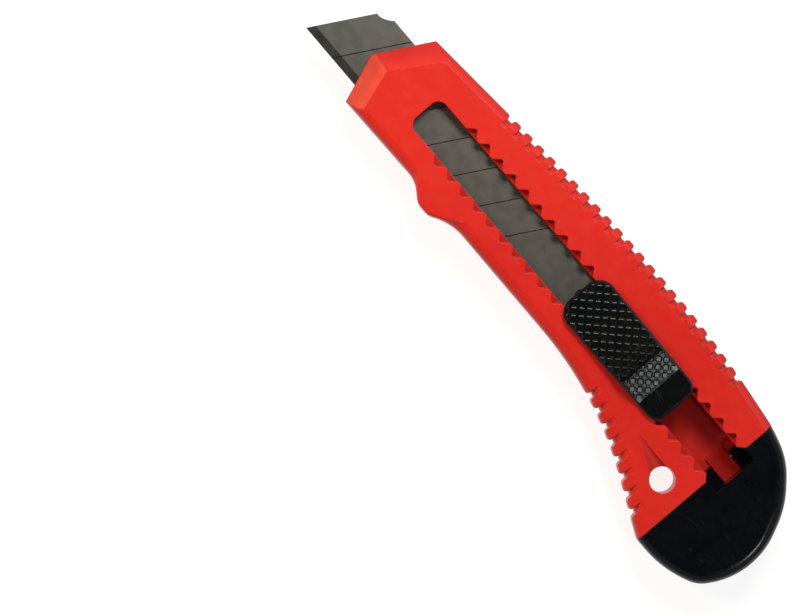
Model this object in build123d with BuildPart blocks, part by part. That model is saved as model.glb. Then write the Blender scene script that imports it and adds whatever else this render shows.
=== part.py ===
"""Snap-off blade utility knife: moulded handle, latched end cap, ratchet slider and scored blade.

Frame: +X points to the blade's tip, +Y to the cutting edge, +Z out of the face with the slider.
The origin is on the raised back panel, under the slot's centre line, near mid length of the handle.
All sizes are in millimetres.
"""

from build123d import *
from math import atan, cos, degrees, hypot, radians, sin, tan
import os

os.makedirs("parts", exist_ok=True)

# ---- levels, from the back panel up -------------------------------------------------------------
Z_FLOOR = 3.0  # floor of the lower channel; the back panel's outer face is at 0
Z_SHOULDER = 3.0  # back of the two shoulders
Z_NOSE_FLOOR = 7.9  # raised channel floor inside the nose
Z_SLIT = 9.75  # shelf that the blade's margins slide on
Z_LIP = 10.6  # underside of the lips beside the slot
Z_LEDGE = 11.6  # floor of the ratchet notches
Z_TOP = 13.6  # flat top face
Z_MIDDLE = (Z_SHOULDER + Z_TOP) / 2

# ---- slot, channel and ratchet ------------------------------------------------------------------
SLOT_HALF, SLOT_FRONT, SLOT_CORNER = 5.1, 59.7, 2.6
SLOT_MOUTH = 1.6  # the slot's corners are cut back this far where the end cap meets them
SLOT_FLARE = 3.0  # size of those cut-back corners
CHANNEL_HALF, CHANNEL_FRONT, NOSE_CHANNEL_FRONT = 6.5, 60.0, 67.5
SLIT_HALF = 9.3
NOTCH_REAR, NOTCH_PITCH, NOTCH_COUNT = -52.5, 5.0, 21  # X of the rearmost apex, then the pitch
NOTCH_HALF, NOTCH_APEX_HALF, NOTCH_DEPTH = 1.95, 0.3, 1.75

# ---- handle outline -----------------------------------------------------------------------------
JOINT_X, JOINT_GAP = -56.8, 0.12  # parting plane between body and end cap
JOINT_SPARE = 7.0  # length left behind the joint until the long corners have been worked
SIDE_ROUND = 2.8  # rounding of the edge-side corners and of the end cap
SIDE_BEVEL = 2.1  # bevel of the spine-side corners
EDGE_SIDE, SPINE_SIDE = 13.0, 18.35  # half widths towards the cutting edge and the spine
FLARE_Y = 29.0  # widest point of the flared tail
GUARD_Y, GUARD_REAR, GUARD_FRONT = 16.27, 39.1, 43.1  # flat top of the finger guard
CROWN_INSET = 0.1  # the guard's flat crown stands this far inside its side wall
CROWN_ROOTS, CROWN_ROOT_Y = (26.3, 54.5), 8.0  # where the crown's flanks start, under the top face
CROWN_RADIUS, CROWN_BEVEL = 4.0, 0.5
PANEL_HALF, PANEL_BASE_HALF = 7.0, 9.3  # back panel, at its face and at the shoulders

# ---- nose: a front face and two facets on each side of the apex -----------------------------------
NOSE_BLANK_X = 95.0  # the blank runs on to here before the nose is cut
NOSE_APEX = (79.0, 0.9)
FACET_APEX = (73.2, 0.5)  # where the top facets meet the top face
NOSE_SIDES = ((20.9, 18.3), (-28.5, -31.8))  # azimuths of front face and facet, edge side then spine side
NOSE_DROP, NOSE_RUN = 2.4, 5.35  # a facet's fall and its plan width

# ---- grip grooves -------------------------------------------------------------------------------
GRIP_DEPTH, GROOVE_WIDTH = 1.15, 1.55
FLARE_IN, FLARE_OUT, FLARE_RUN = 0.3, 0.3, 1.2  # a groove's mouth flares from below the rim to above it
RIB_ROUND = 0.8
GRIP_EDGE_Y, GRIP_SPINE_Y = 8.0, -9.5  # the groove cutters start here, inside both grips
FLARE_GROOVE_FRONT, FLARE_GROOVE_PITCH, FLARE_GROOVES = -21.7, 4.15, 8
SPINE_GROOVE_FRONT, SPINE_GROOVE_PITCH, SPINE_GROOVES = 43.8, 4.09, 22

# ---- lanyard hole -------------------------------------------------------------------------------
HOLE_X, HOLE_Y, HOLE_R = -49.3, 14.5, 3.35
RAMP_TIP = (-37.1, 11.6)
RAMP_DEPTH = 2.0  # how far the cord ramp has sunk where it meets the hole
RAMP_ANGLES = (24, -58)  # where the ramp's sides touch the hole

# ---- blade --------------------------------------------------------------------------------------
BLADE_LENGTH, BLADE_WIDTH, BLADE_THICK = 100.0, 18.0, 0.5
BLADE_REAR, BLADE_Z = -5.2, 9.9
SEGMENT, SCORES, SCORE_ANGLE = 10.0, 7, 61.0
SCORE_WIDTH, SCORE_DEPTH = 0.3, 0.12
HONE_WIDTH, EDGE_THICK = 2.1, 0.08
EYE_R = 2.0
TAIL_CUT = 1.5  # corners cut off the blade's tail
TIP_SPINE_X, TIP_HOLLOW = 81.75, (83.07, -7.8)  # the tip's spine corner is broken out in a shallow hollow
TIP_STEP_Y, TIP_STEP_RUN = -6.9, 0.9

# ---- slider -------------------------------------------------------------------------------------
KNOB_REAR, KNOB_FRONT, KNOB_REAR_HALF, KNOB_FRONT_HALF = -37.6, 0.15, 6.9, 7.5
KNOB_BASE, KNOB_TAIL_Z, KNOB_DIP_Z, KNOB_FRONT_Z = 13.9, 15.3, 15.5, 15.75
RIDGE_X, RIDGE_Z, RIDGE_HALF, RIDGE_WIDTH = -23.9, 17.4, 0.35, 13.0
GRIP_SINK = 0.35  # the gripping slopes lie this far under the ridge, to make room for their knurling
DIP_X = -10.9  # lowest point of the knob's hollow front slope
PAD_REAR = -30.7  # where the knob's smooth tail ends
STEM_REAR, STEM_FRONT, STEM_HALF, STEM_WEB = -33.0, -6.8, 4.8, 2.4
SPRING_BAY = (11.7, 13.45)  # heights of the bay for the detent spring in the stem
BUMP_X = -17.5  # the detent bumps rest in a pair of notches here
SPRING_THICK, SPRING_Z, SPRING_HEIGHT = 0.4, 11.85, 1.4
PLATE_REAR, PLATE_FRONT, PLATE_HALF, PLATE_CORNER = -29.0, 1.6, 6.2, 1.5
STEM_SPACE = 0.15  # side play of the spring and of the rails beside the stem
PLATE_Z0, PLATE_Z1, RAIL_Z, RAIL_FRONT = 8.2, 9.85, 10.4, -8.5
POST_X, POST_R, POST_Z, POST_BEVEL = -1.5, 1.9, 10.5, 0.25
BAY_BACK, BAY_FRONT = -10.0, -8.4  # the spring's bend crosses the stem between these
BUMP_FOOT, BUMP_TIP = 1.9, 6.3
HOOK_X, HOOK_BEND_X, HOOK_IN = -30.5, -29.0, 1.2  # the spring's legs end in short inward hooks
KNOB_RIM = 0.5
PEG_X, PEG_SIZE, PEG_CLEAR = (-26.0, -12.5), (4.0, 3.0), 0.1

# ---- end cap and its latch ------------------------------------------------------------------------
CAP_NOTCH_X, CAP_NOTCH_HALF = -60.4, 6.3
PRONG_TIP, PRONG_IN, PRONG_OUT, PRONG_Z0, PRONG_Z1 = -55.0, 2.95, 6.25, 3.2, 7.6
PLUG_TIP, PLUG_Z0, PLUG_Z1, PLUG_CLEAR = -53.0, 5.2, 11.2, 0.2
PLUGS = ((19.5, 25.0), (-12.9, -10.4))
HUMP_REAR, HUMP_FACE_REAR, HUMP_INSET = -74.0, -70.5, 2.0
CAP_WALL, CAP_BAY_REAR, CAP_BAY_Z = 1.2, -69.0, 5.6
WINDOW_FRONT, WINDOW_REAR, WINDOW_HALF = -62.8, -68.0, 2.9
LATCH_ROOT, LATCH_TAIL, LATCH_HALF, LATCH_Z0, LATCH_Z1 = -53.2, -67.6, 2.7, 1.45, 3.0
LATCH_FACE_X, LATCH_FACE_Z, LATCH_LAND, LATCH_CORNER = -63.0, 0.3, 0.7, 0.8
LATCH_SEAM = 0.03  # between the latch's root and the body


def box(x0, x1, y0, y1, z0, z1, mode=Mode.ADD):
    """A block given by its limits."""
    with Locations(((x0 + x1) / 2, (y0 + y1) / 2, (z0 + z1) / 2)):
        Box(x1 - x0, y1 - y0, z1 - z0, mode=mode)


def section(x):
    """Plane across the knife at X, with local axes Y and Z, facing the tip."""
    return Plane(origin=(x, 0, 0), x_dir=(0, 1, 0), z_dir=(1, 0, 0))


def tilted(point, azimuth, slope):
    """Plane through a point whose normal points along azimuth, lifted from the horizontal by 90 - slope."""
    flat, lift = sin(radians(slope)), cos(radians(slope))
    normal = (flat * cos(radians(azimuth)), flat * sin(radians(azimuth)), lift)
    return Plane(origin=point, z_dir=normal)


def rim(part, z, side):
    """Edges round the handle's outline at height z, on the +Y side (side 1) or the -Y side (side -1)."""
    level = part.edges().filter_by(lambda e: abs(e.bounding_box().min.Z - z) < 0.01)
    level = level.filter_by(lambda e: abs(e.bounding_box().max.Z - z) < 0.01)
    across = level.filter_by(GeomType.LINE).filter_by(Axis.Y)
    return [e for e in level if e not in across and (e @ 0.5).Y * side > 0]


def round_edge_side(part):
    """Round the long corners on the cutting-edge side, front and back."""
    for z in (Z_TOP, Z_SHOULDER):
        fillet(rim(part, z, 1), SIDE_ROUND)


def bevel_spine_side(part):
    """Bevel the long corners on the spine side, front and back."""
    for z in (Z_TOP, Z_SHOULDER):
        chamfer(rim(part, z, -1), SIDE_BEVEL)


def rim_y(x, side):
    """Y of the handle's outline at X, on the +Y side (side 1) or the -Y side (side -1)."""
    ray = Edge.make_line((x, 0, 0), (x, side * 2 * FLARE_Y, 0))
    inside = ray.intersect(plan.sketch.face()).edges()[0].bounding_box()
    return inside.max.Y if side > 0 else inside.min.Y


def groove(x, y_start, side):
    """Plan of one grip groove, whose mouth flares so that the ribs beside it have round corners."""
    wall, lip = GROOVE_WIDTH / 2, GROOVE_WIDTH / 2 + FLARE_RUN
    turns = []
    for hand in (-1, 1):
        turns.append([
            (x + hand * wall, y_start),
            (x + hand * wall, rim_y(x + hand * wall, side) - side * FLARE_IN),
            (x + hand * lip, rim_y(x + hand * lip, side) + side * FLARE_OUT),
            (x + hand * lip, side * (FLARE_Y + 1)),
        ])
    with BuildLine() as border:
        FilletPolyline(
            *turns[0], *turns[1][::-1], radius=[0, RIB_ROUND, 0, 0, 0, 0, RIB_ROUND, 0], close=True
        )
    make_face(border.edges())


def trim(rear):
    """Cut a handle form off square behind and in front."""
    split(bisect_by=section(rear))
    split(bisect_by=section(NOSE_BLANK_X - 1), keep=Keep.BOTTOM)


# ---- outline of handle and cap together, run on past the nose -------------------------------------
OUTLINE = [  # corner, then its radius
    ((NOSE_BLANK_X, -11.8), 0),
    ((NOSE_BLANK_X, EDGE_SIDE + 0.7), 0),
    ((47.9, EDGE_SIDE - 0.05), 8),
    ((GUARD_FRONT, GUARD_Y), 4.2),
    ((GUARD_REAR, GUARD_Y), 4.2),
    ((33.7, EDGE_SIDE - 0.1), 15),
    ((-22.74, EDGE_SIDE), 95),
    ((-56.76, FLARE_Y), 4.2),
    ((-66.0, FLARE_Y), 28),
    ((-75.0, 25.0), 8.2),
    ((-82.9, 12.6), 21.3),
    ((-74.7, -4.7), 26),
    ((-65.8, -12.8), 20),
    ((-57.4, -15.1), 30),
    ((-30.8, -SPINE_SIDE), 260),
    ((10.5, -SPINE_SIDE), 590),
]
corners, radii = [corner for corner, _ in OUTLINE], [radius for _, radius in OUTLINE]

with BuildSketch() as plan:
    with BuildLine():
        FilletPolyline(*corners, radius=radii, close=True)
    make_face()

with BuildPart() as blank:
    with BuildSketch(Plane.XY.offset(Z_SHOULDER)):
        add(plan.sketch)
    extrude(amount=Z_TOP - Z_SHOULDER)

# The floor of every grip groove is a slimmer copy of the handle.
with BuildPart() as grip_core:
    with BuildSketch(Plane.XY.offset(Z_SHOULDER)):
        add(plan.sketch)
        offset(amount=-GRIP_DEPTH)
    extrude(amount=Z_TOP - Z_SHOULDER)
    trim(JOINT_X + 1)
    round_edge_side(grip_core)
    bevel_spine_side(grip_core)

with BuildPart() as grip_cutter:
    with BuildSketch(Plane.XY.offset(Z_SHOULDER)):
        for k in range(FLARE_GROOVES):
            groove(FLARE_GROOVE_FRONT - k * FLARE_GROOVE_PITCH, GRIP_EDGE_Y, 1)
        for k in range(SPINE_GROOVES):
            groove(SPINE_GROOVE_FRONT - k * SPINE_GROOVE_PITCH, GRIP_SPINE_Y, -1)
    extrude(amount=Z_TOP - Z_SHOULDER)
    add(grip_core.part, mode=Mode.SUBTRACT)

# Ramp that leads a cord down into the lanyard hole, on the top face.
with BuildPart() as cord_ramp:
    rim_points = [
        (HOLE_X + HOLE_R * cos(radians(a)), HOLE_Y + HOLE_R * sin(radians(a))) for a in RAMP_ANGLES
    ]
    ramp_run = hypot(RAMP_TIP[0] - HOLE_X, RAMP_TIP[1] - HOLE_Y)
    ramp_azimuth = degrees(atan((RAMP_TIP[1] - HOLE_Y) / (RAMP_TIP[0] - HOLE_X)))
    with BuildSketch(Plane.XY.offset(Z_TOP - RAMP_DEPTH)):
        Polygon(RAMP_TIP, rim_points[0], (HOLE_X, HOLE_Y), rim_points[1], align=None)
    extrude(amount=RAMP_DEPTH + 1)
    slope = degrees(atan(RAMP_DEPTH / ramp_run))
    split(bisect_by=tilted((*RAMP_TIP, Z_TOP), ramp_azimuth + 180, slope))

# Crown of the finger guard, flat out to its edge.
with BuildPart() as guard_crown:
    with BuildSketch(Plane.XY.offset(Z_SHOULDER)):
        with BuildLine():
            crown_y = GUARD_Y - CROWN_INSET
            FilletPolyline(
                (CROWN_ROOTS[0], CROWN_ROOT_Y), (GUARD_REAR, crown_y),
                (GUARD_FRONT, crown_y), (CROWN_ROOTS[1], CROWN_ROOT_Y),
                radius=[0, CROWN_RADIUS, CROWN_RADIUS, 0], close=True,
            )
        make_face()
    extrude(amount=Z_TOP - Z_SHOULDER)
    for face in (guard_crown.faces().sort_by(Axis.Z)[-1], guard_crown.faces().sort_by(Axis.Z)[0]):
        chamfer(face.edges().filter_by(lambda e: (e @ 0.5).Y > CROWN_ROOT_Y + 0.1), CROWN_BEVEL)


def back_panel(rear, front, face_rear):
    """Raised trapezoid rib down the back; its rear end slopes from face_rear at the face to rear."""
    with BuildPart() as rib:
        with BuildSketch(section(rear)):
            Polygon(
                (-PANEL_HALF, 0), (PANEL_HALF, 0),
                (PANEL_BASE_HALF, Z_SHOULDER), (PANEL_HALF, Z_SHOULDER + 1),
                (-PANEL_HALF, Z_SHOULDER + 1), (-PANEL_BASE_HALF, Z_SHOULDER), align=None,
            )
        extrude(amount=front - rear)
        if face_rear > rear:
            steep = Plane(origin=(rear, 0, Z_SHOULDER), z_dir=(Z_SHOULDER, 0, face_rear - rear))
            split(bisect_by=steep)
    return rib.part


body_panel = back_panel(JOINT_X + JOINT_GAP / 2, NOSE_BLANK_X - 2, JOINT_X)

# The cap's hump also stays inside the cap's rounded outline.
hump_limit = extrude(offset(plan.sketch, amount=-HUMP_INSET), amount=Z_TOP)
cap_panel = back_panel(HUMP_REAR, JOINT_X - JOINT_GAP / 2, HUMP_FACE_REAR) & hump_limit

# ---- body: the red moulded handle -----------------------------------------------------------------
with BuildPart() as body:
    # Outer form with its rounded and bevelled sides.
    add(blank.part)
    trim(JOINT_X - JOINT_SPARE)
    round_edge_side(body)
    bevel_spine_side(body)
    trim(JOINT_X + JOINT_GAP / 2)
    add(guard_crown.part)
    add(body_panel)
    add(grip_cutter.part, mode=Mode.SUBTRACT)

    # Nose: front faces, then the facets above and below them.
    for front_azimuth, facet_azimuth in NOSE_SIDES:
        facet_slope = degrees(atan(NOSE_DROP / NOSE_RUN))
        upper = tilted((*FACET_APEX, Z_TOP), facet_azimuth, facet_slope)
        split(bisect_by=tilted((*NOSE_APEX, 0), front_azimuth, 90), keep=Keep.BOTTOM)
        split(bisect_by=upper, keep=Keep.BOTTOM)
        lower_normal = (upper.z_dir.X, upper.z_dir.Y, -upper.z_dir.Z)
        lower = Plane(origin=(*FACET_APEX, Z_SHOULDER), z_dir=lower_normal)
        split(bisect_by=lower, keep=Keep.BOTTOM)

    # Channel for the slider, slit for the blade, and the slot with its ratchet notches.
    box(JOINT_X - 1, CHANNEL_FRONT, -CHANNEL_HALF, CHANNEL_HALF, Z_FLOOR, Z_SLIT, Mode.SUBTRACT)
    box(CHANNEL_FRONT - 1, NOSE_CHANNEL_FRONT, -CHANNEL_HALF, CHANNEL_HALF,
        Z_NOSE_FLOOR, Z_SLIT, Mode.SUBTRACT)
    box(JOINT_X - 1, NOSE_BLANK_X, -SLIT_HALF, SLIT_HALF, Z_SLIT, Z_LIP, Mode.SUBTRACT)
    with BuildSketch(Plane.XY.offset(Z_LIP)):
        with BuildLine():
            mouth_x = JOINT_X + JOINT_GAP / 2 + SLOT_MOUTH
            FilletPolyline(
                (mouth_x - SLOT_FLARE, SLOT_HALF + SLOT_FLARE), (mouth_x, SLOT_HALF),
                (SLOT_FRONT, SLOT_HALF), (SLOT_FRONT, -SLOT_HALF),
                (mouth_x, -SLOT_HALF), (mouth_x - SLOT_FLARE, -SLOT_HALF - SLOT_FLARE),
                radius=[0, 0, SLOT_CORNER, SLOT_CORNER, 0, 0], close=True,
            )
        make_face()
    extrude(amount=Z_TOP - Z_LIP, mode=Mode.SUBTRACT)
    notch_x = [NOTCH_REAR + k * NOTCH_PITCH for k in range(NOTCH_COUNT)]
    with BuildSketch(Plane.XY.offset(Z_LEDGE)):
        notches = [
            Location((x, side * SLOT_HALF, 0), (0, 0, 90 - 90 * side)) for x in notch_x for side in (1, -1)
        ]
        with Locations(*notches):
            Polygon(
                (-NOTCH_HALF, -1), (NOTCH_HALF, -1), (NOTCH_HALF, 0), (NOTCH_APEX_HALF, NOTCH_DEPTH),
                (-NOTCH_APEX_HALF, NOTCH_DEPTH), (-NOTCH_HALF, 0), align=None,
            )
    extrude(amount=Z_TOP - Z_LEDGE, mode=Mode.SUBTRACT)

    # Lanyard hole with a cord ramp on each face.
    with Locations((HOLE_X, HOLE_Y, Z_MIDDLE)):
        Cylinder(HOLE_R, Z_TOP - Z_SHOULDER + 1, mode=Mode.SUBTRACT)
    add(cord_ramp.part, mode=Mode.SUBTRACT)
    add(mirror(cord_ramp.part, about=Plane.XY.offset(Z_MIDDLE), mode=Mode.PRIVATE), mode=Mode.SUBTRACT)

    # Pockets for the end cap's plugs and a recess over the floor for the latch's root.
    for y0, y1 in PLUGS:
        box(JOINT_X - 1, PLUG_TIP + PLUG_CLEAR, y0 - PLUG_CLEAR, y1 + PLUG_CLEAR,
            PLUG_Z0 - PLUG_CLEAR, PLUG_Z1 + PLUG_CLEAR, Mode.SUBTRACT)
    box(JOINT_X - 1, LATCH_ROOT, -PRONG_IN, PRONG_IN, CAP_WALL, Z_FLOOR + 1, Mode.SUBTRACT)

# ---- end cap: closes the tail, with plugs and prongs that enter the body ---------------------------
with BuildPart() as end_cap:
    add(blank.part)
    for z in (Z_TOP, Z_SHOULDER):
        fillet([e for e in rim(end_cap, z, 1) + rim(end_cap, z, -1) if (e @ 0.5).X < 0], SIDE_ROUND)
    cap_front = JOINT_X - JOINT_GAP / 2
    split(bisect_by=section(cap_front), keep=Keep.BOTTOM)
    add(cap_panel)

    # Bay for the latch, open to the top in front of the notch, and the latch's window.
    box(CAP_BAY_REAR, cap_front + 1, -PRONG_IN, PRONG_IN, CAP_WALL, CAP_BAY_Z, Mode.SUBTRACT)
    box(CAP_NOTCH_X, cap_front + 1, -PRONG_IN, PRONG_IN, CAP_WALL, Z_TOP, Mode.SUBTRACT)
    box(CAP_NOTCH_X, cap_front + 1, -CAP_NOTCH_HALF, CAP_NOTCH_HALF, PRONG_Z1, Z_TOP, Mode.SUBTRACT)
    box(WINDOW_REAR, WINDOW_FRONT, -WINDOW_HALF, WINDOW_HALF, -1, CAP_WALL, Mode.SUBTRACT)

    for side in (-1, 1):
        y0, y1 = sorted((side * PRONG_IN, side * PRONG_OUT))
        box(cap_front - 1, PRONG_TIP, y0, y1, PRONG_Z0, PRONG_Z1)
    for y0, y1 in PLUGS:
        box(cap_front - 1, PLUG_TIP, y0, y1, PLUG_Z0, PLUG_Z1)

# ---- cap latch: springy tongue of the body's floor, with a ramped catch in the cap's window ----------
with BuildPart() as cap_latch:
    with BuildSketch(Plane.XZ):
        with BuildLine():
            Polyline(
                (LATCH_ROOT - LATCH_SEAM, LATCH_Z0), (LATCH_ROOT - LATCH_SEAM, LATCH_Z1),
                (LATCH_TAIL, LATCH_Z1), (LATCH_TAIL, LATCH_Z0),
                (LATCH_FACE_X - LATCH_LAND, LATCH_FACE_Z), (LATCH_FACE_X, LATCH_FACE_Z),
                (LATCH_FACE_X, LATCH_Z0), close=True,
            )
        make_face()
    extrude(amount=LATCH_HALF, both=True)
    fillet(cap_latch.edges().filter_by(Axis.Z).group_by(Axis.X)[0], LATCH_CORNER)

# ---- slider knob: thumb piece over the slot, and its stem -------------------------------------------
with BuildPart() as slider_knob:
    with BuildSketch(Plane.XY.offset(KNOB_BASE)):
        with BuildLine():
            FilletPolyline(
                (KNOB_REAR, -KNOB_REAR_HALF), (KNOB_REAR, KNOB_REAR_HALF),
                (KNOB_FRONT, KNOB_FRONT_HALF), (KNOB_FRONT, -KNOB_FRONT_HALF),
                radius=[3, 3, 4.6, 4.6], close=True,
            )
        make_face()
    extrude(amount=RIDGE_Z - KNOB_BASE + 1)
    slope_top = (RIDGE_X, RIDGE_Z - GRIP_SINK)
    with BuildSketch(Plane.XZ):
        with BuildLine():
            Polyline(
                (KNOB_FRONT + 1, KNOB_FRONT_Z), (KNOB_FRONT + 1, KNOB_BASE), (KNOB_REAR - 1, KNOB_BASE),
                (KNOB_REAR - 1, KNOB_TAIL_Z), (PAD_REAR, KNOB_TAIL_Z),
                slope_top,
            )
            ThreePointArc(slope_top, (DIP_X, KNOB_DIP_Z), (KNOB_FRONT + 1, KNOB_FRONT_Z))
        make_face()
    extrude(amount=10, both=True, mode=Mode.INTERSECT)
    # Soften the rim of the thumb piece and top it with the ridge between its gripping slopes.
    sides = slider_knob.edges().filter_by(lambda e: (e @ 0.5).Z > KNOB_TAIL_Z - 0.01)
    inner = sides.filter_by(Axis.Y).filter_by(lambda e: KNOB_REAR + 1 < (e @ 0.5).X < KNOB_FRONT - 1)
    chamfer([e for e in sides if e not in inner], KNOB_RIM)
    box(RIDGE_X - RIDGE_HALF, RIDGE_X + RIDGE_HALF, -RIDGE_WIDTH / 2, RIDGE_WIDTH / 2, KNOB_TAIL_Z, RIDGE_Z)

    # Stem through the slot, with its bay for the detent spring and two pegs for the carrier.
    with BuildSketch(Plane.XY.offset(PLATE_Z1)):
        with Locations(((STEM_REAR + STEM_FRONT) / 2, 0)):
            RectangleRounded(STEM_FRONT - STEM_REAR, 2 * STEM_HALF, 1.5)
    extrude(amount=KNOB_BASE - PLATE_Z1)
    bay_z0, bay_z1 = SPRING_BAY
    for side in (-1, 1):
        y0, y1 = sorted((side * STEM_WEB, side * (STEM_HALF + 1)))
        box(STEM_REAR - 1, BAY_BACK, y0, y1, bay_z0, bay_z1, Mode.SUBTRACT)
    box(BAY_BACK - 0.1, BAY_FRONT, -STEM_HALF - 1, STEM_HALF + 1, bay_z0, bay_z1, Mode.SUBTRACT)
    for x in PEG_X:
        box(x - PEG_SIZE[0] / 2, x + PEG_SIZE[0] / 2, -PEG_SIZE[1] / 2, PEG_SIZE[1] / 2, PLATE_Z0, PLATE_Z1)

# ---- detent spring: steel strip bent into a U, with a bump on each leg --------------------------------
leg = STEM_HALF - SPRING_THICK / 2 - STEM_SPACE
leg_points = [
    (HOOK_X, leg - HOOK_IN), (HOOK_BEND_X, leg), (BUMP_X - BUMP_FOOT, leg),
    (BUMP_X, BUMP_TIP), (BUMP_X + BUMP_FOOT, leg), ((BAY_BACK + BAY_FRONT) / 2, leg),
]
far_points = [(x, -y) for x, y in reversed(leg_points)]
leg_radii = [0.6, 0.5, 0.4, 0.5, 1.2]
with BuildPart() as detent_spring:
    with BuildSketch(Plane.XY.offset(SPRING_Z)):
        with BuildLine():
            FilletPolyline(*leg_points, *far_points, radius=leg_radii + leg_radii[::-1])
        trace(line_width=SPRING_THICK)
    extrude(amount=SPRING_HEIGHT)

# ---- blade carrier: plate under the lips, with guide rails and the post for the blade ----------------
with BuildPart() as blade_carrier:
    with BuildSketch(Plane.XY.offset(PLATE_Z0)):
        with Locations(((PLATE_REAR + PLATE_FRONT) / 2, 0)):
            RectangleRounded(PLATE_FRONT - PLATE_REAR, 2 * PLATE_HALF, PLATE_CORNER)
    extrude(amount=PLATE_Z1 - PLATE_Z0)
    for side in (-1, 1):
        y0, y1 = sorted((side * (STEM_HALF + STEM_SPACE), side * PLATE_HALF))
        box(PLATE_REAR + PLATE_CORNER, RAIL_FRONT, y0, y1, PLATE_Z1, RAIL_Z)
    for x in PEG_X:
        half_x, half_y = PEG_SIZE[0] / 2 + PEG_CLEAR, PEG_SIZE[1] / 2 + PEG_CLEAR
        box(x - half_x, x + half_x, -half_y, half_y, PLATE_Z0 - 1, PLATE_Z1 + 1, Mode.SUBTRACT)
    with BuildSketch(Plane.XY.offset(PLATE_Z1)):
        with Locations((POST_X, 0)):
            Circle(POST_R)
    extrude(amount=POST_Z - PLATE_Z1)
    chamfer(blade_carrier.edges().filter_by(GeomType.CIRCLE).sort_by(Axis.Z)[-1], POST_BEVEL)

# ---- blade: scored strip with a honed edge, a slanted tip and an eye for the carrier's post -----------
tip_x = BLADE_REAR + BLADE_LENGTH
half_width = BLADE_WIDTH / 2
lean = 1 / tan(radians(SCORE_ANGLE))  # X that a score line gains for each millimetre of Y
with BuildPart() as blade:
    with BuildSketch(Plane.XY.offset(BLADE_Z)):
        with BuildLine():
            step_x = tip_x - (half_width - TIP_STEP_Y) * lean
            Polyline(
                (TIP_SPINE_X, -half_width), (BLADE_REAR + TAIL_CUT, -half_width),
                (BLADE_REAR, TAIL_CUT - half_width), (BLADE_REAR, half_width - TAIL_CUT),
                (BLADE_REAR + TAIL_CUT, half_width), (tip_x, half_width),
                (step_x, TIP_STEP_Y), (step_x - TIP_STEP_RUN, TIP_STEP_Y),
            )
            ThreePointArc((step_x - TIP_STEP_RUN, TIP_STEP_Y), TIP_HOLLOW, (TIP_SPINE_X, -half_width))
        make_face()
        with Locations((POST_X, 0)):
            Circle(EYE_R, mode=Mode.SUBTRACT)
    extrude(amount=BLADE_THICK)

    # Honed from both faces to the cutting edge.
    middle, top = BLADE_Z + BLADE_THICK / 2, BLADE_Z + BLADE_THICK
    for sign in (-1, 1):
        with BuildSketch(section(BLADE_REAR - 1)):
            Polygon(
                (half_width - HONE_WIDTH, middle + sign * BLADE_THICK / 2),
                (half_width + 0.5, middle + sign * BLADE_THICK / 2),
                (half_width + 0.5, middle + sign * EDGE_THICK / 2),
                (half_width, middle + sign * EDGE_THICK / 2), align=None,
            )
        extrude(amount=BLADE_LENGTH + 2, mode=Mode.SUBTRACT)

    # Score lines across the top face, one segment apart.
    for k in range(1, SCORES + 1):
        with Locations(Location((tip_x - k * SEGMENT - half_width * lean, 0, top), (0, 0, SCORE_ANGLE))):
            Box(2 * BLADE_WIDTH, SCORE_WIDTH, 2 * SCORE_DEPTH, mode=Mode.SUBTRACT)

PIECES = {
    "body": body,
    "end_cap": end_cap,
    "cap_latch": cap_latch,
    "slider_knob": slider_knob,
    "detent_spring": detent_spring,
    "blade_carrier": blade_carrier,
    "blade": blade,
}
for name, piece in PIECES.items():
    piece.part.label = name
    export_step(piece.part, f"parts/{name}.step")
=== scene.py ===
"""Looks for the snap-off utility knife: materials, knurled thumb pads, studio and camera.

Everything is in metres in the row frame: +X to the blade's tip, +Y to the cutting edge, +Z out of
the face with the slider. The materials and the pads are laid out in millimetres of that frame.
"""

import math

import bmesh
import bpy
from mathutils import Matrix, Vector
from mathutils.bvhtree import BVHTree


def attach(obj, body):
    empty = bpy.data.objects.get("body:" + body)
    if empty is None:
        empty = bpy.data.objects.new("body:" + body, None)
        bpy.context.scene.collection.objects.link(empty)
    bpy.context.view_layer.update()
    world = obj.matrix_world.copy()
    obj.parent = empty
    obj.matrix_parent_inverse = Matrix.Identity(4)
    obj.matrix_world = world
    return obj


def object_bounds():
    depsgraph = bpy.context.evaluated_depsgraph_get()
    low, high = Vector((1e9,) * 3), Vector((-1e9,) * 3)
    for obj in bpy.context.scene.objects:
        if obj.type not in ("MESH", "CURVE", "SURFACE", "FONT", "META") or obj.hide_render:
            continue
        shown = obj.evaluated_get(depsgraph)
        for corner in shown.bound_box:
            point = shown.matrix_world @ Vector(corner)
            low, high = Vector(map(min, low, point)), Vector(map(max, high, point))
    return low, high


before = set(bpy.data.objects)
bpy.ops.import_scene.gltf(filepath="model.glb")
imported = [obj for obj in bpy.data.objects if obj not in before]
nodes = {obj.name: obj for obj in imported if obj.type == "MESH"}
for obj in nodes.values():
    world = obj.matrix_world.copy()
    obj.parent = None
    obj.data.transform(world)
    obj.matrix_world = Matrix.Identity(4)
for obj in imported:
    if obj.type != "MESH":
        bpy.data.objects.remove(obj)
cad_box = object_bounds()
MM = 0.001

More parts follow.
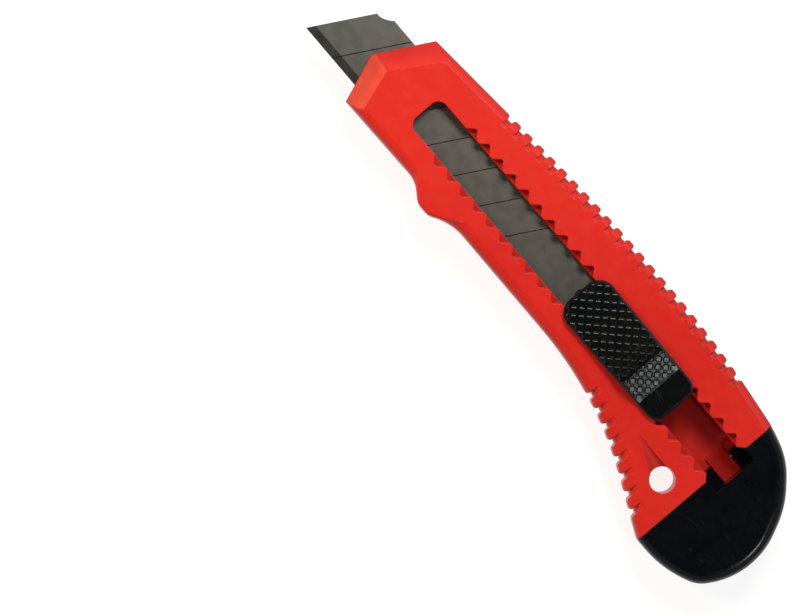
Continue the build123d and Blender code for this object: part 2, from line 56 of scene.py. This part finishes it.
# ---- heights and places on the knife, in mm --------------------------------------------------------------
HANDLE_TOP = 13.6
NOTCH_PAINTED_SHADE, NOTCH_SHADE_IN, NOTCH_SHADE_OUT = 0.18, (9.5, 11.3), (12.0, 13.4)  # painted shade in the notches: amount, and Z of each end
LOW_PAINTED_SHADE, LOW_SHADE_OUT = 0.10, (11.5, 13.3)  # painted shade: everything under the top face is a little darker too
BLADE_TIP, BLADE_TOP = 94.8, 10.4
SEGMENT = 10.0  # of the blade, between two score lines
SCORE_LEAN = 1 / math.tan(math.radians(61.0))
SCORE_AT = BLADE_TIP - 9.0 * SCORE_LEAN  # the score lines cross the blade's middle in steps from here
SCORE_EDGE = (0.10, 0.16)  # the painted shade of a score line fades out between these, from its middle
TIP_PAINTED_SHADE_X = (60.0, 92.0)  # painted shade: the steel is painted cooler and darker towards the tip between these
HONE_EDGE = (6.75, 6.95)  # the ground edge starts between these
EDGE_SAMPLES = 6  # for the rounded edges' shading


# ---- material helpers -------------------------------------------------------------------------------
class Paint:
    """A Principled material whose textures are laid out in millimetres of the row frame."""

    def __init__(self, name, metallic=0.0, ior=1.5):
        self.mat = bpy.data.materials.new(name)
        self.mat.use_nodes = True
        self.tree = self.mat.node_tree
        self.tree.nodes.clear()
        out = self.tree.nodes.new("ShaderNodeOutputMaterial")
        self.bsdf = self.tree.nodes.new("ShaderNodeBsdfPrincipled")
        self.link(self.bsdf.outputs["BSDF"], out.inputs["Surface"])
        self.bsdf.inputs["Metallic"].default_value = metallic
        self.bsdf.inputs["IOR"].default_value = ior
        place = self.tree.nodes.new("ShaderNodeTexCoord")
        scale = self.tree.nodes.new("ShaderNodeMapping")
        scale.inputs["Scale"].default_value = (1 / MM,) * 3
        self.link(place.outputs["Object"], scale.inputs["Vector"])
        self.mm = scale.outputs["Vector"]
        split = self.tree.nodes.new("ShaderNodeSeparateXYZ")
        self.link(self.mm, split.inputs[0])
        self.x, self.y, self.z = split.outputs

    def link(self, source, target):
        self.tree.links.new(source, target)

    def feed(self, socket, value):
        if isinstance(value, bpy.types.NodeSocket):
            self.link(value, socket)
        else:
            socket.default_value = value

    def stretched(self, scale, turn=0.0, shift=(0, 0, 0)):
        """Coordinates scaled per axis (features per mm) and turned about Z, in degrees."""
        n = self.tree.nodes.new("ShaderNodeMapping")
        n.inputs["Rotation"].default_value = (0, 0, math.radians(turn))
        n.inputs["Scale"].default_value = scale
        n.inputs["Location"].default_value = shift
        self.link(self.mm, n.inputs["Vector"])
        return n.outputs["Vector"]

    def noise(self, scale=1.0, detail=3.0, roughness=0.55, at=None):
        n = self.tree.nodes.new("ShaderNodeTexNoise")
        n.inputs["Scale"].default_value = scale
        n.inputs["Detail"].default_value = detail
        n.inputs["Roughness"].default_value = roughness
        self.link(at or self.mm, n.inputs["Vector"])
        return n.outputs["Fac"]

    def cells(self, scale, at=None, feature="F1"):
        n = self.tree.nodes.new("ShaderNodeTexVoronoi")
        n.feature = feature
        n.inputs["Scale"].default_value = scale
        self.link(at or self.mm, n.inputs["Vector"])
        return n.outputs["Distance"]

    def step(self, value, low, high, to_low=0.0, to_high=1.0):
        """Value runs from to_low at low to to_high at high, smoothly, and stays there outside."""
        n = self.tree.nodes.new("ShaderNodeMapRange")
        n.interpolation_type = "SMOOTHSTEP"
        for name, v in (("From Min", low), ("From Max", high), ("To Min", to_low), ("To Max", to_high)):
            n.inputs[name].default_value = v
        self.link(value, n.inputs["Value"])
        return n.outputs["Result"]

    def math(self, operation, a, b=0.0):
        n = self.tree.nodes.new("ShaderNodeMath")
        n.operation = operation
        self.feed(n.inputs[0], a)
        self.feed(n.inputs[1], b)
        return n.outputs[0]

    def blend(self, fac, a, b, mode="MIX"):
        n = self.tree.nodes.new("ShaderNodeMix")
        n.data_type = "RGBA"
        n.blend_type = mode
        self.feed(n.inputs["Factor"], fac)
        self.feed(n.inputs[6], (*a, 1) if isinstance(a, tuple) else a)
        self.feed(n.inputs[7], (*b, 1) if isinstance(b, tuple) else b)
        return n.outputs[2]

    def rounded(self, radius_mm):
        """Shading normal of the surface with its sharp edges rounded off."""
        n = self.tree.nodes.new("ShaderNodeBevel")
        n.samples = EDGE_SAMPLES
        n.inputs["Radius"].default_value = radius_mm * MM
        return n.outputs["Normal"]

    def bump(self, height, distance_mm, normal=None, strength=1.0):
        n = self.tree.nodes.new("ShaderNodeBump")
        n.inputs["Strength"].default_value = strength
        n.inputs["Distance"].default_value = distance_mm * MM
        self.link(height, n.inputs["Height"])
        if normal is not None:
            self.link(normal, n.inputs["Normal"])
        return n.outputs["Normal"]

    def scratches(self, per_mm, turn, width, shift=0.0):
        """Sparse hairline scratches along one direction: 1 in a scratch and 0 elsewhere."""
        bent = self.noise(0.12, 1.0, at=self.stretched((1, 1, 1), shift=(shift, 0, 0)))
        at = self.stretched((per_mm * 0.06, per_mm, per_mm), turn, (shift, shift * 0.37, 0))
        line = self.cells(1.0, at, "DISTANCE_TO_EDGE")
        patches = self.noise(0.22, 2.0, at=self.stretched((1, 1, 1), shift=(0, shift, 3)))
        mask = self.step(patches, 0.52, 0.62)
        thin = self.step(line, 0.0, width, 1.0, 0.0)
        return self.math("MULTIPLY", self.math("MULTIPLY", thin, mask), self.step(bent, 0.3, 0.6))

    def finish(self, color, roughness, normal=None):
        self.feed(self.bsdf.inputs["Base Color"], color)
        self.feed(self.bsdf.inputs["Roughness"], roughness)
        if normal is not None:
            self.link(normal, self.bsdf.inputs["Normal"])
        return self.mat


def red_plastic():
    """Semi-gloss moulded red, a little mottled and scratched, with painted shade darkening it in the slot
    and the grooves.
    """
    p = Paint("red_plastic", ior=1.32)
    wide = p.step(p.noise(0.035, 2.0), 0.35, 0.65)
    color = p.blend(wide, (0.600, 0.0175, 0.0125), (0.660, 0.0215, 0.0145))
    mottle = p.step(p.noise(0.9, 4.0, 0.6), 0.35, 0.7)
    color = p.blend(p.math("MULTIPLY", mottle, 0.15), color, (0.70, 0.028, 0.016))
    lines = p.math("MAXIMUM", p.scratches(0.9, 12, 0.02), p.scratches(0.7, -57, 0.018, 41.0))
    color = p.blend(p.math("MULTIPLY", lines, 0.10), color, (0.80, 0.16, 0.12))
    # Painted shade: the red darkens in the notches, the slot and under the top face, where shade falls.
    notch_shade_in = p.step(p.z, *NOTCH_SHADE_IN)
    painted_shade = p.math("MULTIPLY", notch_shade_in, p.step(p.z, *NOTCH_SHADE_OUT, NOTCH_PAINTED_SHADE, 0.0))
    painted_shade = p.math("ADD", painted_shade, p.step(p.z, *LOW_SHADE_OUT, LOW_PAINTED_SHADE, 0.0))
    color = p.blend(painted_shade, color, (0.20, 0.004, 0.004))
    grain = p.noise(5.5, 3.0, 0.6)
    rough = p.step(p.noise(0.3, 3.0), 0.3, 0.7, 0.30, 0.40)
    rough = p.math("ADD", rough, p.math("MULTIPLY", lines, 0.2))
    normal = p.bump(grain, 0.010, p.rounded(0.45))
    normal = p.bump(p.noise(0.22, 2.0), 0.10, normal, 0.6)
    return p.finish(color, rough, normal)


def black_plastic(name, tint, rough_range, grain_mm, scratch_amount, edge_mm):
    """Satin black moulding with dust specks and fine scratches."""
    p = Paint(name, ior=1.34)
    wide = p.step(p.noise(0.12, 3.0), 0.35, 0.65)
    color = p.blend(wide, tint, tuple(c * 1.4 for c in tint))
    specks = p.step(p.cells(0.8), 0.0, 0.07, 1.0, 0.0)
    specks = p.math("MULTIPLY", specks, p.step(p.noise(0.5, 2.0), 0.58, 0.64))
    lines = p.math("MAXIMUM", p.scratches(1.1, 33, 0.016, 7.0), p.scratches(0.9, -48, 0.014, 23.0))
    marks = p.math("MAXIMUM", p.math("MULTIPLY", specks, 0.8), p.math("MULTIPLY", lines, scratch_amount))
    color = p.blend(marks, color, (0.16, 0.16, 0.165))
    rough = p.step(p.noise(0.5, 4.0), 0.3, 0.7, *rough_range)
    rough = p.math("ADD", rough, p.math("MULTIPLY", marks, 0.2))
    normal = p.bump(p.noise(6.0, 3.0, 0.6), grain_mm, p.rounded(edge_mm))
    normal = p.bump(p.noise(0.25, 2.0), 0.06, normal, 0.5)
    return p.finish(color, rough, normal)


def blade_steel():
    """Rolled strip with a fine lengthwise grain, dull spots, painted shade in the score lines and towards
    the tip, and a ground edge.
    """
    p = Paint("blade_steel", metallic=1.0)
    grain = p.noise(1.0, 5.0, 0.7, p.stretched((0.35, 9.0, 1.0)))
    cloud = p.step(p.noise(0.10, 2.0, 0.5), 0.2, 0.8)
    # Painted shade: the exposed steel towards the tip is painted darker and cooler, standing in for how the
    # light falls there.
    color = p.blend(p.step(p.x, *TIP_PAINTED_SHADE_X), (0.158, 0.153, 0.140), (0.134, 0.138, 0.138))
    color = p.blend(p.math("MULTIPLY", cloud, 0.25), color, (0.172, 0.168, 0.152))
    color = p.blend(p.step(grain, 0.35, 0.7, 0.0, 0.30), color, (0.205, 0.202, 0.188))
    spots = p.step(p.cells(0.55), 0.02, 0.13, 1.0, 0.0)
    spots = p.math("MULTIPLY", spots, p.step(p.noise(0.35, 2.0), 0.5, 0.6))
    color = p.blend(p.math("MULTIPLY", spots, 0.25), color, (0.06, 0.055, 0.05))
    hone = p.step(p.y, *HONE_EDGE)
    mottle = p.step(p.noise(3.5, 4.0, 0.7), 0.35, 0.65)
    hone_color = p.blend(mottle, (0.055, 0.055, 0.055), (0.120, 0.120, 0.118))
    color = p.blend(hone, color, hone_color)
    # Painted shade: the score lines are painted nearly black, standing in for the shade in their grooves.
    run = p.math("ADD", p.x, p.math("MULTIPLY", p.y, -SCORE_LEAN))
    nearest = p.math("PINGPONG", p.math("SUBTRACT", run, SCORE_AT), SEGMENT / 2)
    line = p.step(nearest, *SCORE_EDGE, 1.0, 0.0)
    below_face = p.step(p.z, BLADE_TOP - 0.02, BLADE_TOP - 0.01, 1.0, 0.0)
    score_shade = p.math("MULTIPLY", line, below_face)
    color = p.blend(p.math("MULTIPLY", score_shade, 0.85), color, (0.012, 0.012, 0.012))
    rough = p.step(p.noise(0.3, 3.0), 0.3, 0.7, 0.38, 0.43)
    rough = p.math("ADD", rough, p.math("MULTIPLY", spots, 0.25))
    normal = p.bump(grain, 0.004)
    return p.finish(color, rough, normal)


def spring_steel():
    """Bright rolled spring strip with lengthwise drawing marks."""
    p = Paint("spring_steel", metallic=1.0)
    grain = p.noise(1.0, 4.0, 0.7, p.stretched((0.3, 3.0, 12.0)))
    color = p.blend(p.step(grain, 0.35, 0.7), (0.36, 0.36, 0.37), (0.55, 0.55, 0.56))
    rough = p.step(grain, 0.3, 0.7, 0.24, 0.38)
    return p.finish(color, rough, p.bump(grain, 0.006))


def paint(obj, material):
    obj.data.materials.clear()
    obj.data.materials.append(material)


red = red_plastic()
cap_black = black_plastic("cap_black", (0.0020, 0.0023, 0.0036), (0.17, 0.24), 0.006, 0.07, 0.25)
knob_black = black_plastic("knob_black", (0.0024, 0.0030, 0.0034), (0.17, 0.25), 0.006, 0.16, 0.08)
carrier_black = black_plastic("carrier_black", (0.010, 0.010, 0.011), (0.35, 0.50), 0.016, 0.2, 0.15)
for name, material in (
    ("body", red), ("cap_latch", red), ("end_cap", cap_black), ("slider_knob", knob_black),
    ("blade_carrier", carrier_black), ("blade", blade_steel()), ("detent_spring", spring_steel()),
):
    paint(nodes[name], material)


# ---- knurled thumb pads ---------------------------------------------------------------------------------
PITCH = 2.0  # between the knurl's ridges, which run at 45 degrees to the knife
# Half widths across a ridge from its top to its foot, each with the height there as a part of the ridge's.
SHOULDERED_RIDGE = [(0.05, 1.0), (0.20, 0.81), (0.44, 0.0)]
BROAD_RIDGE = [(0.20, 1.0), (0.21, 0.98), (0.46, 0.0)]
SHARP_RIDGE = [(0.05, 1.0), (0.07, 0.97), (0.49, 0.0)]
KNURL_HEIGHT, KNURL_FLOOR, KNURL_ROOT = 0.34, 0.06, -0.15  # above the slope that carries it
RAY_FROM = 1.0  # metres up, well above the knob
CUT_TOLERANCE = 1e-5
MOST_VERTS = 100000  # more than any pad has
knob_skin = BVHTree.FromPolygons(
    [v.co for v in nodes["slider_knob"].data.vertices],
    [f.vertices for f in nodes["slider_knob"].data.polygons],
)


def knob_top(x, y):
    """Height of the knob's upper surface at X, Y, in millimetres."""
    hit = knob_skin.ray_cast(Vector((x * MM, y * MM, RAY_FROM)), Vector((0, 0, -1)))[0]
    return hit.z / MM


def face_order(face):
    """One number from a face's three lowest vertices, so that the faces are stored alike in every run."""
    first, second, third = sorted(v.index for v in face.verts)[:3]
    return (first * MOST_VERTS + second) * MOST_VERTS + third


def knurled_pad(name, outline, rows, columns):
    """A closed pad over the knob's slope: square pits between crossed ridges, cut to a convex outline.

    Rows and columns are the half widths of the ridges that run each way.
    """
    reach = max(math.hypot(x, y) for x, y in outline) + PITCH
    count = int(reach / PITCH) + 1
    lines = []
    for half in (columns, rows):
        offsets = [(0.0, 1.0)] + half + [(PITCH - at, up) for at, up in half[::-1]]
        lines.append([(k * PITCH + at, up) for k in range(-count, count) for at, up in offsets])
    low = [min(c) - PITCH for c in zip(*outline)]
    high = [max(c) + PITCH for c in zip(*outline)]
    bm = bmesh.new()
    grid = {}
    turn = math.sqrt(0.5)  # both the sine and the cosine of the ridges' 45 degrees
    for i, (p, up_p) in enumerate(lines[0]):
        for j, (q, up_q) in enumerate(lines[1]):
            x, y = (p - q) * turn, (p + q) * turn
            if low[0] < x < high[0] and low[1] < y < high[1]:
                height = KNURL_FLOOR + (KNURL_HEIGHT - KNURL_FLOOR) * max(up_p, up_q)
                grid[i, j] = bm.verts.new((x, y, height))
    for i, j in grid:
        corners = [(i, j), (i + 1, j), (i + 1, j + 1), (i, j + 1)]
        if all(c in grid for c in corners):
            bm.faces.new([grid[c] for c in corners])
    bmesh.ops.triangulate(bm, faces=bm.faces[:])
    for k, (x0, y0) in enumerate(outline):
        x1, y1 = outline[(k + 1) % len(outline)]
        bmesh.ops.bisect_plane(
            bm, geom=bm.verts[:] + bm.edges[:] + bm.faces[:], dist=CUT_TOLERANCE,
            plane_co=(x0, y0, 0), plane_no=(y1 - y0, x0 - x1, 0), clear_outer=True,
        )
    loose = [v for v in bm.verts if not v.link_faces]
    bmesh.ops.delete(bm, geom=loose, context="VERTS")
    top = bm.faces[:]
    made = bmesh.ops.extrude_face_region(bm, geom=top, use_keep_orig=True)["geom"]
    raised = {v for v in made if isinstance(v, bmesh.types.BMVert)}
    for v in bm.verts:
        base = knob_top(v.co.x, v.co.y)
        v.co.z = base + (v.co.z if v in raised else KNURL_ROOT)
    bmesh.ops.recalc_face_normals(bm, faces=bm.faces[:])
    bm.verts.index_update()
    bm.faces.sort(key=face_order)
    bmesh.ops.scale(bm, vec=(MM,) * 3, verts=bm.verts[:])
    mesh = bpy.data.meshes.new(name)
    bm.to_mesh(mesh)
    bm.free()
    pad = bpy.data.objects.new(name, mesh)
    bpy.context.scene.collection.objects.link(pad)
    paint(pad, knob_black)
    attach(pad, "slider")


def rounded_front(x_rear, half_rear, x_front, half_front, radius, steps=7):
    """Outline of the front pad, anticlockwise: square behind, with rounded corners in front."""
    points = [(x_rear, half_rear), (x_rear, -half_rear)]
    for side in (-1, 1):
        centre = (x_front - radius, side * (half_front - radius))
        turns = [side * 90 * k / steps for k in range(steps + 1)]
        arc = [(centre[0] + radius * math.cos(math.radians(t)),
                centre[1] + radius * math.sin(math.radians(t))) for t in turns]
        points += arc[::-1] if side < 0 else arc
    return points


KNURL_FRONT = rounded_front(-23.5, 6.5, -0.55, 6.85, 3.9)
KNURL_REAR = [(-24.3, 6.6), (-29.4, 6.5), (-30.6, 5.3), (-30.6, -5.3), (-29.4, -6.5), (-24.3, -6.6)]
knurled_pad("knurl_front", KNURL_FRONT, SHOULDERED_RIDGE, BROAD_RIDGE)
knurled_pad("knurl_rear", KNURL_REAR, SHARP_RIDGE, SHARP_RIDGE)


# ---- studio ---------------------------------------------------------------------------------------------
FLOOR_HALF, FLOOR_DROP = 1.2, 0.0002  # the floor's half size, and how far it lies under the knife
FLOOR_GLOW = 0.86  # keeps the floor nearly white all round
RING_LEVEL = 0.42  # of the surroundings, at its palest


def studio():
    """Pale floor, a ring of pale surroundings and three soft lights."""
    floor_z = cad_box[0].z
    mesh = bpy.data.meshes.new("floor")
    bm = bmesh.new()
    bmesh.ops.create_grid(bm, x_segments=2, y_segments=2, size=FLOOR_HALF)
    bm.to_mesh(mesh)
    bm.free()
    floor = bpy.data.objects.new("floor", mesh)
    floor.location = (0, 0, floor_z - FLOOR_DROP)
    bpy.context.scene.collection.objects.link(floor)
    p = Paint("floor_white")
    tone = p.step(p.noise(0.01, 2.0), 0.3, 0.7)
    paint(floor, p.finish(p.blend(tone, (0.20, 0.20, 0.20), (0.22, 0.22, 0.22)), 0.8))
    p.bsdf.inputs["Emission Color"].default_value = (1, 1, 1, 1)
    p.bsdf.inputs["Emission Strength"].default_value = FLOOR_GLOW

    # The surroundings are a pale ring, darker overhead and low down, so that flat faces keep their colour.
    world = bpy.data.worlds.new("surroundings")
    world.use_nodes = True
    tree = world.node_tree
    where = tree.nodes.new("ShaderNodeTexCoord")
    split = tree.nodes.new("ShaderNodeSeparateXYZ")
    ring = tree.nodes.new("ShaderNodeValToRGB")
    ring.color_ramp.interpolation = "EASE"
    stops = ring.color_ramp.elements
    stops[0].position, stops[0].color = 0.05, (0.26, 0.27, 0.29, 1)
    stops[1].position, stops[1].color = 0.88, (0.03, 0.032, 0.040, 1)
    for position in (0.38, 0.62):
        stops.new(position).color = (RING_LEVEL * 0.97, RING_LEVEL, RING_LEVEL * 1.04, 1)
    tree.links.new(where.outputs["Generated"], split.inputs[0])
    tree.links.new(split.outputs["Z"], ring.inputs["Fac"])
    tree.links.new(ring.outputs["Color"], tree.nodes["Background"].inputs["Color"])
    bpy.context.scene.world = world

    def area(name, towards, height, size, power, color=(1, 1, 1)):
        data = bpy.data.lights.new(name, "AREA")
        data.shape = "RECTANGLE"
        data.size, data.size_y = size
        data.energy = power
        data.color = color
        light = bpy.data.objects.new(name, data)
        light.location = (VIEW_CENTRE[0] + towards[0], VIEW_CENTRE[1] + towards[1], height)
        aim = Vector((VIEW_CENTRE[0], VIEW_CENTRE[1], 0)) - light.location
        light.rotation_euler = aim.to_track_quat("-Z", "Y").to_euler()
        bpy.context.scene.collection.objects.link(light)

    up, left = Vector(VIEW_UP), -Vector(VIEW_RIGHT)
    area("main", up * 0.265 - left * 0.12, 0.37, (0.20, 0.14), 1.52, (1.0, 0.95, 0.86))
    area("side", left * 0.36 + up * 0.20, 0.36, (0.13, 0.13), 1.30, (1.0, 0.78, 0.40))
    area("low", -left * 0.34 - up * 0.276, 0.55, (0.07, 0.07), 0.50)


# ---- camera: straight down on the slider's face, turned in the plane ------------------------------------
VIEW_CENTRE = (26.0 * MM, 36.6 * MM)
VIEW_TURN = 130.4  # degrees from +X to the picture's right, clockwise
VIEW_RIGHT = (math.cos(math.radians(VIEW_TURN)), -math.sin(math.radians(VIEW_TURN)), 0)
VIEW_UP = (-VIEW_RIGHT[1], VIEW_RIGHT[0], 0)
VIEW_WIDTH = 200 * MM  # across the picture at the handle's top face
VIEW_FACE = HANDLE_TOP * MM
VIEW_HEIGHT = 1000 * MM  # above that face
SENSOR = 36.0

studio()
camera_data = bpy.data.cameras.new("camera")
camera_data.sensor_width = SENSOR
camera_data.lens = SENSOR * VIEW_HEIGHT / VIEW_WIDTH
camera_data.clip_start, camera_data.clip_end = 0.01, 5.0
camera = bpy.data.objects.new("camera", camera_data)
back = Vector((0, 0, 1))
axes = Matrix((Vector(VIEW_RIGHT), Vector(VIEW_UP), back)).transposed()
camera.matrix_world = Matrix.Translation((*VIEW_CENTRE, VIEW_FACE + VIEW_HEIGHT)) @ axes.to_4x4()
bpy.context.scene.collection.objects.link(camera)
bpy.context.scene.camera = camera
bpy.context.scene.view_settings.view_transform = "Standard"
